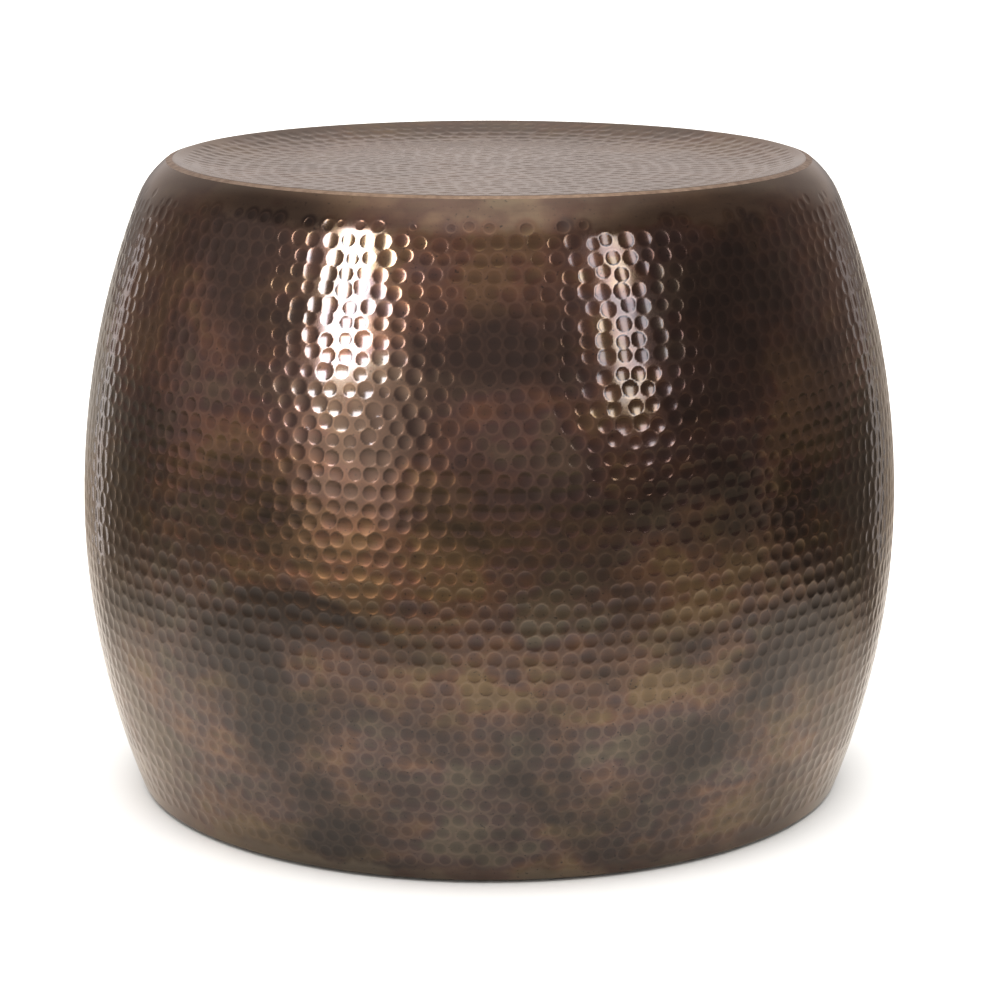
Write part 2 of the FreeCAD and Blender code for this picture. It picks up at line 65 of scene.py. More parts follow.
def addNode(tree, kind, sockets=None, stops=(), **settings):
    # One shader node. Settings are its properties, and stops a ramp's places, each with a hex colour or a
    # grey level. Sockets are its live inputs by name or number, and each takes a value, a hex colour, an
    # output, or a node for its first live output.
    made = tree.nodes.new("ShaderNode" + kind)
    for name, setting in settings.items():
        setattr(made, name, setting)
    if stops:
        while len(made.color_ramp.elements) < len(stops):
            made.color_ramp.elements.new(1.0)
        for element, (place, colour) in zip(made.color_ramp.elements, stops):
            element.position = place
            element.color = hexColour(colour) if isinstance(colour, str) else (colour, colour, colour, 1.0)
    live = [socket for socket in made.inputs if socket.enabled]
    for name, given in (sockets or {}).items():
        entry = live[name] if isinstance(name, int) else next(s for s in live if s.name == name)
        if isinstance(given, str):
            given = hexColour(given)
        if isinstance(given, bpy.types.Node):
            given = next(socket for socket in given.outputs if socket.enabled)
        if isinstance(given, bpy.types.NodeSocket):
            tree.links.new(given, entry)
        else:
            entry.default_value = given
    return made


def newMaterial(name):
    # an empty node material, and addNode for its own tree
    made = bpy.data.materials.new(name)
    made.use_nodes = True
    made.node_tree.nodes.clear()
    return made, partial(addNode, made.node_tree)


def addObject(name, data):
    # an object in the scene's own collection
    made = bpy.data.objects.new(name, data)
    bpy.context.scene.collection.objects.link(made)
    return made


# the barrel's outline in mm, around the sizes that the frame gives
lowest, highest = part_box("upper_shell")
barrel = {
    "waistRadius": highest.y / mm,
    "waistHeight": lowest.z / mm,
    "edgeHeight": highest.z / mm,
    "tableHeight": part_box("top_tray")[1].z / mm,
    "floorGap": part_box("lower_shell")[0].z / mm,
    "shoulderInset": 43.0,
    "shoulderDrop": 28.0,
    "rimInset": 20.5,
    "baseInset": 37.0,
    "baseBend": 4.0,
    "flangeWidth": 28.0,
    "gauge": 1.2,
    "lapStep": 1.35,
    "lapDepth": 12.0,
}
# how many points trace each stretch of an outline
traced = {"wall": 1500, "shoulder": 500, "bend": 200, "flange": 200, "flangeInside": 60,
          "sweep": 900, "rim": 300}


def arcPoints(centre, radius, first, last, count):
    # points on a circle in the plane of radius and height, from one angle to another
    turn = np.linspace(first, last, count)
    return np.stack([centre[0] + radius * np.cos(turn), centre[1] + radius * np.sin(turn)], 1)


def joinPath(*parts, least=sameSpot):
    # one polyline, without the points that are no more than the least step after the one before
    path = np.concatenate(parts)
    step = np.linalg.norm(np.diff(path, axis=0), axis=1)
    return path[np.concatenate([[True], step > least])]


def pathLength(path):
    # length from the start to each point: the running sum of the steps
    return np.concatenate([[0], np.cumsum(np.linalg.norm(np.diff(path, axis=0), axis=1))])


def unit(vectors):
    # each vector divided by its length
    return vectors / np.maximum(np.linalg.norm(vectors, axis=-1, keepdims=True), tiny)


def alongPath(path, places):
    # radius, height and the unit normal (to the right of the path) at the given lengths
    length = pathLength(path)
    tangent = np.gradient(path, length, axis=0)
    point = np.stack([np.interp(places, length, path[:, i]) for i in (0, 1)], -1)
    slope = np.stack([np.interp(places, length, tangent[:, i]) for i in (0, 1)], -1)
    return point, unit(np.stack([slope[..., 1], -slope[..., 0]], -1))


waist = (barrel["waistRadius"], barrel["waistHeight"])
shoulder = (waist[0] - barrel["shoulderInset"], barrel["tableHeight"] - barrel["shoulderDrop"])
edge = (shoulder[0] - barrel["rimInset"], barrel["edgeHeight"])
upperRise = shoulder[1] - waist[1]
upperBulge = (barrel["shoulderInset"] ** 2 + upperRise ** 2) / (2 * barrel["shoulderInset"])
lean = 2 * math.atan(barrel["shoulderInset"] / upperRise)
edgeRise = edge[1] - shoulder[1]
shoulderBulge = (barrel["rimInset"] ** 2 + edgeRise ** 2) / (
    2 * (barrel["rimInset"] * math.cos(lean) - edgeRise * math.sin(lean)))
shoulderCentre = (shoulder[0] - shoulderBulge * math.cos(lean), shoulder[1] - shoulderBulge * math.sin(lean))
edgeAngle = math.atan2(edge[1] - shoulderCentre[1], edge[0] - shoulderCentre[0])
upperCentre = (waist[0] - upperBulge, waist[1])

lowerRise = waist[1] - barrel["floorGap"]
lowerBulge = (barrel["baseInset"] ** 2 + lowerRise ** 2) / (2 * barrel["baseInset"])
lowerCentre = (waist[0] - lowerBulge, waist[1])
bendHeight = barrel["floorGap"] + barrel["baseBend"]
bendCentre = (lowerCentre[0] + math.sqrt((lowerBulge - barrel["baseBend"]) ** 2
                                         - (waist[1] - bendHeight) ** 2), bendHeight)
meetAngle = math.atan2(bendCentre[1] - lowerCentre[1], bendCentre[0] - lowerCentre[0])
mouthRadius = waist[0] - barrel["baseInset"] - barrel["flangeWidth"]
gauge = barrel["gauge"]

# hammer marks: rows of shallow bowls round the barrel and rings of them on the tray
hammer = {
    "pitch": 12.0,       # mm between marks in a row
    "rowPitch": 10.6,    # mm between rows
    "bowlRadius": 45.0,  # mm, the dome of the hammer's face
    "bowlSpread": 0.1,   # of that radius, between the limits of the next line
    "bowlLimits": (0.8, 1.3),
    "depth": 0.31,       # mm, with its spread and limits
    "depthSpread": 0.05,
    "depthLimits": (0.15, 0.42),
    "leastDepth": 0.05,  # mm, a lighter blow leaves no mark
    "wander": 0.9,       # mm that a blow strays from its place
    "tightRing": 6.0,    # mm, least radius that a blow strays round on the tray
    "softEdge": 0.03,    # mm of rounding at a mark's lip
    "farReach": 4.0,     # square of the reach where no mark is near
    "untouched": 9.0,    # mm, a height that loses to any other
    "dents": 0.22,       # mm, the slow unevenness of the sheet
    "waves": 14,         # long waves in it, and the divisor for their sum
    "waveSum": 2.2,
    "wavesRound": (2, 17),
    "wavesAlong": (0.5, 5),
    "wavePhase": 6.28,
    "seed": 7,
}


def hammerRows(rowPlaces, rowRadius, seed):
    # what each blow does: its count per row, phase, straying, depth and bowl, as arrays
    dice = np.random.default_rng(seed)
    count = np.maximum(1, np.round(2 * np.pi * rowRadius / hammer["pitch"])).astype(int)
    shape = (len(rowPlaces), count.max())
    limits = hammer["bowlLimits"]
    return {
        "place": rowPlaces,
        "count": count,
        "phase": dice.random(len(rowPlaces)),
        "strayAlong": dice.normal(0, hammer["wander"], shape),
        "strayAcross": dice.normal(0, hammer["wander"], shape),
        "depth": np.clip(dice.normal(hammer["depth"], hammer["depthSpread"], shape), *hammer["depthLimits"]),
        "bowl": np.clip(dice.normal(1, hammer["bowlSpread"], shape), *limits) * hammer["bowlRadius"],
    }


def plainSheet(turn, place):
    # no height anywhere, before any blow and for what isn't hammered
    return np.zeros(np.broadcast(turn, place).shape)


def softMin(a, b, width):
    # the lower of two heights, rounded off by up to a quarter of the width where they cross
    blend = np.clip(width - np.abs(a - b), 0, None) / width
    return np.minimum(a, b) - blend ** 2 * width / 4


def hammerMarks(rows, turn, place, radius, flat=False):
    # height (0 or less) of the nearest bowls: distance squared / (2 x bowl radius) - depth,
    # and the reach: 0 at the middle of the nearest mark, 1 at its lip, more on the land between
    first = rows["place"][0]
    step = rows["place"][1] - first
    near = np.round((place - first) / step).astype(int)
    height = plainSheet(turn, place)
    reach = np.full(height.shape, hammer["farReach"])
    for rowStep in (-1, 0, 1):
        row = near + rowStep
        there = (row >= 0) & (row < len(rows["place"]))
        row = np.clip(row, 0, len(rows["place"]) - 1)
        count = rows["count"][row]
        middle = np.round(turn / (2 * np.pi) * count - rows["phase"][row]).astype(int)
        for blowStep in (-1, 0, 1):
            blow = (middle + blowStep) % count
            at = (middle + blowStep + rows["phase"][row]) / count * 2 * np.pi
            rowAt = rows["place"][row] + rows["strayAcross"][row, blow]
            if flat:
                at = at + rows["strayAlong"][row, blow] / np.maximum(rowAt, hammer["tightRing"])
                apart = (place * np.cos(turn) - rowAt * np.cos(at)) ** 2
                apart = apart + (place * np.sin(turn) - rowAt * np.sin(at)) ** 2
            else:
                apart = ((turn - at) * radius - rows["strayAlong"][row, blow]) ** 2 + (place - rowAt) ** 2
            depth = rows["depth"][row, blow]
            bowl = apart / (2 * rows["bowl"][row, blow])
            struck = there & (depth > hammer["leastDepth"])
            height = softMin(height, np.where(struck, bowl - depth, hammer["untouched"]), hammer["softEdge"])
            share = bowl / np.maximum(depth, hammer["leastDepth"])
            reach = np.minimum(reach, np.where(struck, share, hammer["farReach"]))
    return height, np.sqrt(reach)


def slowDents(turn, place, seed, span):
    # a sum of long waves, whole numbers of them round the drum, so the sheet is never quite true
    dice = np.random.default_rng(seed)
    total = plainSheet(turn, place)
    for _ in range(hammer["waves"]):
        size = dice.normal()
        around = np.cos(dice.integers(*hammer["wavesRound"]) * turn + dice.random() * hammer["wavePhase"])
        along = dice.uniform(*hammer["wavesAlong"]) * np.pi * place / span
        total += size * around * np.cos(along + dice.random() * hammer["wavePhase"])
    return total * hammer["dents"] / hammer["waveSum"]


def ease(x, low, high):
    # 0 below low, 1 above high, smooth between
    t = np.clip((x - low) / (high - low), 0, 1)
    return t * t * (3 - 2 * t)


# the wall: lengths along its outside are counted from the waist, plus upwards and minus downwards
wall = {
    "columns": 1440,
    "sectors": 4,
    "cell": 1.25,          # mm between rows of points where the wall is hammered
    "smoothCell": 2.2,     # on the smooth shoulder
    "bendCell": 0.9,       # round the bend at the foot
    "flangeCell": 8.0,
    "innerCell": 2.5,      # inside
    "innerBendCell": 2.0,
    "bareShoulder": 17.0,  # mm of smooth shoulder under the rim
    "bareMargin": 3.0,     # mm of it that the fine rows still cover
    "firstRow": 5.5,       # mm from the bare shoulder to the middle of the first marks
    "faintRow": (-0.1, 0.75),  # share of its depth that a mark of the first row has
    "faintSeed": 31,
    "footEase": 5.0,       # mm over which the marks die out at the foot
    "dentSeed": 5,
    "dentShare": 0.9,
    "dentFoot": 40.0,      # mm over which the dents die out at the foot and at the rim
    "dentRim": 30.0,
    "backShare": 0.85,     # of a mark's depth that shows on the back
    "backLap": (16, 26),   # mm from the waist to where the upper back is plain and where it is marked
    "backWaist": (3, 14),  # the same on the lower back, and from its foot
    "backFoot": (4, 16),
}
upperOut = joinPath(arcPoints(upperCentre, upperBulge, 0, lean, traced["wall"]),
                    arcPoints(shoulderCentre, shoulderBulge, lean, edgeAngle, traced["shoulder"]))
lowerWall = arcPoints(lowerCentre, lowerBulge, 0, meetAngle, traced["wall"])
lowerOut = joinPath(lowerWall,
                    arcPoints(bendCentre, barrel["baseBend"], meetAngle, -np.pi / 2, traced["bend"]),
                    np.linspace((bendCentre[0], barrel["floorGap"]), (mouthRadius, barrel["floorGap"]),
                                traced["flange"]))
wallOut = joinPath(lowerOut[::-1], upperOut)  # from the hem up to the rim
upperLength = pathLength(upperOut)[-1]
lowerLength = pathLength(lowerOut)[-1]
wallFoot = pathLength(lowerWall)[-1]

hammeredTop = upperLength - wall["bareShoulder"]
rowCount = int((hammeredTop + wallFoot) / hammer["rowPitch"])
rowPlaces = hammeredTop - wall["firstRow"] - hammer["rowPitch"] * np.arange(rowCount)[::-1]
rowRadius = alongPath(wallOut, rowPlaces + lowerLength)[0][:, 0]
wallRows = hammerRows(rowPlaces, rowRadius, hammer["seed"])
dice = np.random.default_rng(wall["faintSeed"])
wallRows["depth"][-1] *= dice.uniform(*wall["faintRow"], wallRows["depth"].shape[1])


def wallMarks(turn, place):
    # height and reach of the marks, on the circle that the outline has at this length
    radius = np.interp(place + lowerLength, pathLength(wallOut), wallOut[:, 0])
    return hammerMarks(wallRows, turn, place, radius)


def wallHeight(turn, place):
    # marks and inward dents added up, both dying out at the foot bend and the dents at the rim as well
    marks = wallMarks(turn, place)[0] * ease(place + wallFoot, 0, wall["footEase"])
    dents = slowDents(turn, place, wall["dentSeed"], upperLength + wallFoot)
    dents = dents * ease(place + wallFoot, 0, wall["dentFoot"])
    dents = dents * ease(upperLength - place, 0, wall["dentRim"])
    return marks + np.minimum(dents, 0.0) * wall["dentShare"]


def ringPoints(point, normal, height, turn):
    # a profile point moved along its normal and carried round the axis
    radius = point[:, None, 0] + normal[:, None, 0] * height
    level = point[:, None, 1] + normal[:, None, 1] * height
    return np.stack([radius * np.cos(turn), radius * np.sin(turn), np.broadcast_to(level, radius.shape)], -1)


def hammeredPatch(path, places, turn, height, facing):
    # Points on the grid of lengths and turns, moved outwards by the height there, and normals as the
    # cross product of two short steps, round the drum and along the path. Facing is 1 where the path's
    # right side is the outside, and -1 where its left side is.
    turn = turn[None, :]
    swing = nudge / waist[0]
    fore, back = (np.clip(places + step, 0, pathLength(path)[-1]) for step in (nudge, -nudge))

    def surface(lengths, angles):
        # points of the surface at these lengths and angles
        point, normal = alongPath(path, lengths)
        return ringPoints(point, normal * facing, height(angles, lengths[:, None]), angles)

    across = surface(places, turn + swing) - surface(places, turn - swing)
    along = surface(fore, turn) - surface(back, turn)
    return surface(places, turn), unit(np.cross(across, along) * facing)


def gridFaces(grid, flip=False):
    # quads between the rows and columns of a grid of points, as index arrays
    index = np.arange(grid.size // 3).reshape(grid.shape[:2])
    quads = np.stack([index[:-1, :-1], index[:-1, 1:], index[1:, 1:], index[1:, :-1]], -1).reshape(-1, 4)
    return quads[:, ::-1] if flip else quads


def fanFaces(fineCount, flip=False):
    # triangles between a ring of fine points and one of half as many, fine points first
    step = np.arange((fineCount - 1) // 2)
    fine, coarse = 2 * step, fineCount + step
    faces = np.concatenate([np.stack([fine, fine + 1, coarse], 1),
                            np.stack([fine + 1, coarse + 1, coarse], 1),
                            np.stack([fine + 1, fine + 2, coarse + 1], 1)])
    return faces[:, ::-1] if flip else faces


def buildMesh(name, patches, ngons=()):
    # patches: (points, faces, normals or None, marks or None). Points that coincide are welded, and
    # each face corner keeps its patch's own normal, so bends stay crisp and cuts don't show.
    # A patch without marks counts as bare sheet, with a reach of 2.
    points = np.concatenate([p[0].reshape(-1, 3) for p in patches])
    marks = np.concatenate([np.full(p[0].size // 3, 2.0) if p[3] is None else p[3].ravel() for p in patches])
    rounded = np.round(points, weldDigits)
    _, firstSeen, owner = np.unique(rounded, axis=0, return_index=True, return_inverse=True)
    owner = owner.ravel()
    welded = points[firstSeen]
    offset = 0
    corners, sizes, normals = [], [], []
    for spots, faces, out, _ in patches:
        flatSpots = spots.reshape(-1, 3)
        corners.append(owner[faces + offset].ravel())
        sizes.append(np.full(len(faces), faces.shape[1]))
        if out is None:
            a, b, c = (flatSpots[faces[:, i]] for i in (0, 1, 2))
            normals.append(np.repeat(unit(np.cross(b - a, c - a)), faces.shape[1], axis=0))
        else:
            normals.append(out.reshape(-1, 3)[faces.ravel()])
        offset += len(flatSpots)
    for spots, out in ngons:
        # a cut face: its corners are found among the welded points
        both = np.round(np.concatenate([welded, spots]), weldDigits)
        both = np.unique(both, axis=0, return_inverse=True)[1].ravel()
        place = np.zeros(both.max() + 1, dtype=int)
        place[both[:len(welded)]] = np.arange(len(welded))
        corners.append(place[both[len(welded):]])
        sizes.append(np.array([len(spots)]))
        normals.append(np.broadcast_to(out, (len(spots), 3)))
    corners = np.concatenate(corners)
    sizes = np.concatenate(sizes)
    mesh = bpy.data.meshes.new(name)
    mesh.vertices.add(len(welded))
    mesh.vertices.foreach_set("co", (welded * mm).astype(np.float32).ravel())
    mesh.loops.add(len(corners))
    mesh.loops.foreach_set("vertex_index", corners.astype(np.int32))
    mesh.polygons.add(len(sizes))
    mesh.polygons.foreach_set("loop_start", np.concatenate([[0], np.cumsum(sizes)[:-1]]).astype(np.int32))
    mesh.update(calc_edges=True)
    mesh.polygons.foreach_set("use_smooth", np.ones(len(sizes), dtype=bool))
    layer = mesh.attributes.new("hammer", "FLOAT", "POINT")
    layer.data.foreach_set("value", marks[firstSeen].astype(np.float32))
    mesh.normals_split_custom_set(np.concatenate(normals).astype(np.float32))
    return addObject(name, mesh)


def spaced(first, *stretches):
    # lengths from first on, through stretches of (end, step), each shared out evenly at about its step
    places = np.array([first])
    for last, step in stretches:
        count = max(2, int(round(abs(last - places[-1]) / step)) + 1)
        places = np.concatenate([places, np.linspace(places[-1], last, count)[1:]])
    return places


# insides of the two shells, as plain profiles from the top down
upperIn = joinPath(arcPoints(shoulderCentre, shoulderBulge - gauge, edgeAngle, lean, traced["shoulder"]),
                   arcPoints(upperCentre, upperBulge - gauge, lean, 0, traced["wall"]))
tongue = waist[0] - barrel["lapStep"]
lapTop = waist[1] + barrel["lapDepth"]
rampTop = waist[1] - gauge / 2
rampAngle = math.atan2(-gauge / 2 - barrel["lapStep"], lowerBulge - gauge)
flangeTop = barrel["floorGap"] + gauge
lowerIn = joinPath(arcPoints(lowerCentre, lowerBulge - gauge, rampAngle, meetAngle, traced["wall"]),
                   arcPoints(bendCentre, barrel["baseBend"] - gauge, meetAngle, -np.pi / 2, traced["bend"]),
                   np.linspace((bendCentre[0], flangeTop), (mouthRadius, flangeTop), traced["flangeInside"]))
lap = [(tongue, waist[1]), (tongue, lapTop), (tongue - gauge, lapTop), (tongue - gauge, rampTop)]


def upperBack(turn, place):
    # the back of the marks on the inside of the upper shell, a share of their depth, flat along the lap
    length = upperLength - place
    return wallHeight(turn, length) * wall["backShare"] * ease(length, *wall["backLap"])


def lowerBack(turn, place):
    # the same inside the lower shell, flat under the lap and along the foot bend
    dimples = wallHeight(turn, -place) * wall["backShare"]
    return dimples * ease(place, *wall["backWaist"]) * ease(wallFoot - place, *wall["backFoot"])


def sectorTurns(sector, count):
    # the angles of one sector's share of the columns, with both of its cut edges
    share = count // wall["sectors"]
    return 2 * np.pi * (np.arange(share + 1) + sector * share) / count


def shellSector(name, sector, half):
    # one quarter of a shell: hammered outside, dimpled inside, the folds between, and its two cut faces
    facing = half["facing"]
    fine = sectorTurns(sector, wall["columns"])
    coarse = sectorTurns(sector, wall["columns"] // 2)
    outside, outNormals = hammeredPatch(half["outPath"], half["outPlaces"], fine,
                                        lambda turn, place: wallHeight(turn, place * facing), facing)
    inside, inNormals = hammeredPatch(half["inPath"], half["inPlaces"], coarse,
                                      lambda turn, place: -half["back"](turn, place), 1.0)
    reach = wallMarks(fine[None, :], half["outPlaces"][:, None] * facing)[1]
    patches = [(outside, gridFaces(outside, flip=facing < 0), outNormals, reach),
               (inside, gridFaces(inside), inNormals, -np.ones(inside.shape[:2]))]
    upward = outside if facing > 0 else outside[::-1]
    loop = [upward]
    for corner in half["folds"]:
        # plain folds such as the lap's tongue, a straight strip each
        ring = ringPoints(np.array([corner]), np.zeros((1, 2)), np.zeros((1, len(fine))), fine)
        strip = np.concatenate([loop[-1][-1:], ring])
        patches.append((strip, gridFaces(strip), None, None))
        loop.append(ring)
    top = np.concatenate([loop[-1][-1], inside[0]])
    patches.append((top, fanFaces(len(fine)), None, None))
    bottom = np.concatenate([upward[0], inside[-1]])
    patches.append((bottom, fanFaces(len(fine), flip=True), None, None))
    loop.append(inside)
    cuts = []
    for column, side in ((0, -1), (-1, 1)):
        rim = joinPath(*(part[:, column] for part in loop), least=cutSpot)
        out = side * np.array([-np.sin(fine[column]), np.cos(fine[column]), 0])
        cuts.append((rim if side < 0 else rim[::-1], out))
    return buildMesh(name, patches, cuts)


def makeShells():
    # both halves in quarters, with rows of points close together where the sheet is hammered or bent
    foot = wallFoot + np.pi / 2 * barrel["baseBend"]
    inEnd = pathLength(lowerIn)[-1]
    inFoot = inEnd - (lowerLength - wallFoot)
    upper = {
        "outPath": upperOut, "inPath": upperIn, "facing": 1.0, "back": upperBack, "folds": [],
        "outPlaces": spaced(0, (hammeredTop + wall["bareMargin"], wall["cell"]),
                            (upperLength, wall["smoothCell"])),
        "inPlaces": spaced(0, (pathLength(upperIn)[-1], wall["innerCell"])),
    }
    lower = {
        "outPath": lowerOut, "inPath": lowerIn, "facing": -1.0, "back": lowerBack, "folds": lap,
        "outPlaces": spaced(0, (wallFoot, wall["cell"]), (foot, wall["bendCell"]),
                            (lowerLength, wall["flangeCell"])),
        "inPlaces": spaced(0, (inFoot, wall["innerCell"]), (inEnd, wall["innerBendCell"])),
    }
    made = []
    for sector in range(wall["sectors"]):
        made.append(shellSector(f"upperShellQuarter{sector + 1}", sector, upper))
        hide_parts("upper_shell")
        made.append(shellSector(f"lowerShellQuarter{sector + 1}", sector, lower))
        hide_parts("lower_shell")
    for piece in made:
        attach(piece, "root")
    print("shells:", [len(piece.data.polygons) for piece in made])
    return made


shells = makeShells()

# the dished tray, from its centre over the rim to the tip of its skirt
tray = {
    "dishDepth": 10.0,
    "sweep": 180.0,
    "rimBend": 3.0,
    "skirtDepth": 12.0,
    "squares": 236,         # cells across the disc's square grid
    "discRadius": 218.0,
    "sweepCell": 2.6,       # mm between rings of points outside the disc, round the rim and on the skirt
    "rimCell": 0.5,
    "skirtCell": 3.0,
    "underCell": 2.0,
    "bareBorder": 10.0,     # mm from the crest to the middle of the last ring of marks
    "depth": 0.40,
    "bowl": 0.80,           # of the wall's bowl radius: a rounder hammer
    "lastRing": (0.5, 1.0),  # share of its depth that a mark of the last ring has
    "ringSeed": 19,
    "markEnd": 2.0,         # mm over which the marks die out at the disc's edge
    "dentSeed": 11,
    "dentSpan": 420.0,
    "dentShare": 0.6,
    "dentCentre": (5, 40),  # mm from the centre, where the dents begin and where they are full
    "dentOuter": (120, 190),  # and where they weaken and end
}
skirtBulge = shoulderBulge - barrel["lapStep"]
crestHeight = barrel["tableHeight"] - tray["rimBend"]
crest = (shoulderCentre[0] + math.sqrt((skirtBulge - tray["rimBend"]) ** 2
                                       - (crestHeight - shoulderCentre[1]) ** 2), crestHeight)
dishFloor = barrel["tableHeight"] - tray["dishDepth"]
floorRadius = crest[0] - math.sqrt(2 * (tray["sweep"] + tray["rimBend"]) * tray["dishDepth"]
                                   - tray["dishDepth"] ** 2)
dishCentre = (floorRadius, dishFloor + tray["sweep"])
riseAngle = math.atan2(crest[1] - dishCentre[1], crest[0] - dishCentre[0])
turnAngle = math.atan2(crest[1] - shoulderCentre[1], crest[0] - shoulderCentre[0])
tipAngle = turnAngle - tray["skirtDepth"] / skirtBulge
outerRing = crest[0] - tray["bareBorder"]
rings = np.arange(outerRing % hammer["rowPitch"], outerRing + 1, hammer["rowPitch"])
trayRows = hammerRows(rings, rings, tray["ringSeed"])
trayRows["depth"] *= tray["depth"] / hammer["depth"]
trayRows["bowl"] *= tray["bowl"]
trayRows["depth"][-1] *= dice.uniform(*tray["lastRing"], trayRows["depth"].shape[1])


def discGrid(squares):
    # a square of cells eased into a disc: each square ring of points becomes a circle
    side = np.linspace(-1, 1, squares + 1)
    u, v = np.meshgrid(side, side)
    wide = np.abs(u) >= np.abs(v)
    reach = np.where(wide, u, v)
    turn = np.where(wide, np.pi / 4 * v / np.where(u == 0, 1, u),
                    np.pi / 2 - np.pi / 4 * u / np.where(v == 0, 1, v))
    return reach * np.cos(turn) * tray["discRadius"], reach * np.sin(turn) * tray["discRadius"]


def dishHeight(x, y, under=0.0, marked=True):
    # Flat floor, then a sweep of one radius upwards; under lowers it by the sheet's gauge. The marked
    # side has the hammer marks and dents on it, and the other side counts as inside, with a reach of -1.
    reach = np.hypot(x, y)
    rise = np.clip(reach - floorRadius, 0, None)
    level = dishCentre[1] - np.sqrt((tray["sweep"] + under) ** 2 - rise ** 2)
    if not marked:
        return level, np.full(level.shape, -1.0)
    turn = np.arctan2(y, x)
    marks, inMark = hammerMarks(trayRows, turn, reach, reach, flat=True)
    marks = marks * ease(tray["discRadius"] - reach, 0, tray["markEnd"])
    full, end = tray["dentOuter"]
    dents = np.minimum(slowDents(turn, reach, tray["dentSeed"], tray["dentSpan"]), 0)
    dents = dents * ease(-reach, -end, -full) * ease(reach, *tray["dentCentre"])
    return level + marks + dents * tray["dentShare"], inMark


def discPatch(squares, under, marked):
    # points of the dish, normals from its slopes over two nudges, and the reach in the marks
    x, y = discGrid(squares)
    level, marks = dishHeight(x, y, under, marked)
    slopes = []
    for stepX, stepY in ((nudge, 0), (0, nudge)):
        ahead = dishHeight(x + stepX, y + stepY, under, marked)[0]
        slopes.append((ahead - dishHeight(x - stepX, y - stepY, under, marked)[0]) / (2 * nudge))
    out = unit(np.stack([-slopes[0], -slopes[1], np.ones(x.shape)], -1))
    return np.stack([x, y, level], -1), out * (1 if marked else -1), marks


def makeTray():
    # the disc, a ring over the rim and down the skirt, the skirt's tip, and the same way back underneath
    bendAngle = riseAngle + np.pi
    topPath = joinPath(arcPoints(dishCentre, tray["sweep"], -np.pi / 2, riseAngle, traced["sweep"]),
                       arcPoints(crest, tray["rimBend"], bendAngle, turnAngle, traced["rim"]),
                       arcPoints(shoulderCentre, skirtBulge, turnAngle, tipAngle, traced["rim"]))
    underPath = joinPath(arcPoints(shoulderCentre, skirtBulge - gauge, tipAngle, turnAngle, traced["rim"]),
                         arcPoints(crest, tray["rimBend"] - gauge, turnAngle, bendAngle, traced["rim"]),
                         arcPoints(dishCentre, tray["sweep"] + gauge, riseAngle, -np.pi / 2, traced["sweep"]))
    fineTurn = np.linspace(-np.pi / 4, 7 * np.pi / 4, 4 * tray["squares"] + 1)
    coarseTurn = fineTurn[::2]
    ringStart = tray["discRadius"] - floorRadius
    start = tray["sweep"] * math.asin(ringStart / tray["sweep"])
    bendFrom = tray["sweep"] * (riseAngle + np.pi / 2)
    bendTo = bendFrom + tray["rimBend"] * (bendAngle - turnAngle)
    places = spaced(start, (bendFrom, tray["sweepCell"]), (bendTo, tray["rimCell"]),
                    (pathLength(topPath)[-1], tray["skirtCell"]))
    underSweep = tray["sweep"] + gauge
    underEnd = pathLength(underPath)[-1] - underSweep * math.asin(ringStart / underSweep)
    underPlaces = spaced(0, (underEnd, tray["underCell"]))
    top, topOut, marks = discPatch(tray["squares"], 0.0, True)
    under, underOut, underMarks = discPatch(tray["squares"] // 2, gauge, False)
    over, overOut = hammeredPatch(topPath, places, fineTurn, plainSheet, -1.0)
    back, backOut = hammeredPatch(underPath, underPlaces, coarseTurn, plainSheet, -1.0)
    for ring, turn, drop in ((over[0], fineTurn, 0.0), (back[-1], coarseTurn, gauge)):
        ring[:, 0] = tray["discRadius"] * np.cos(turn)  # meets the disc's own edge exactly
        ring[:, 1] = tray["discRadius"] * np.sin(turn)
        ring[:, 2] = dishHeight(ring[:, 0], ring[:, 1], drop, False)[0]
    inside = -np.ones(back.shape[:2])
    patches = [(top, gridFaces(top), topOut, marks),
               (over, gridFaces(over, flip=True), overOut, None),
               (np.concatenate([over[-1], back[0]]), fanFaces(len(fineTurn), flip=True), None, None),
               (back, gridFaces(back, flip=True), backOut, inside),
               (under, gridFaces(under, flip=True), underOut, underMarks)]
    made = buildMesh("trayTop", patches)
    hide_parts("top_tray")
    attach(made, "root")
    print("tray:", len(made.data.polygons), "faces")
    return made


trayTop = makeTray()

# the copper's colours, and the sizes of what clouds and roughens them
patina = {
    "darkBrown": "#23170f",
    "redCopper": "#5f4433",
    "oliveGold": "#635036",
    "greyGreen": "#50473a",
    "greyViolet": "#483633",
    "lip": "#7d6a5b",       # rubbed bright along the lips of the marks
    "brass": "#675c4c",     # the bare shoulder and rim, rubbed more
    "stain": "#4a3023",
    "rawLight": "#c08c6a",  # the inside, left unwashed
    "rawDark": "#8f6247",
    "edgeTint": "#ead9c8",  # the mirror's own tint where it is seen at a slant
    "drift": (0.92, 3.5, 3.84),  # where in the noise this drum's clouds lie
    "hueDrift": (3.1, 7.7, 1.3),  # and how far from them the clouds of hue and the mottling lie
    "lie": (1.0, 1.0, 1.5),  # clouds are wider than high
    "rubWay": (0.06, 0.06, 1.0),  # streaks run round the drum
    "patch": 105.0,         # mm, cloud size of the patina
    "hueShare": 0.9,        # clouds of hue are larger, the patch divided by this
    "mottle": 28.0,         # mm, smaller mottling inside the clouds
    "streak": 5.0,          # mm, rubbing streaks
    "speck": 2.2,           # mm, pin specks that show in the highlights
    "speckDepth": 0.3,      # mm
    "roughness": 0.16,
    "lipStep": 0.08,        # mm, how sharply a mark turns up at its lip
}


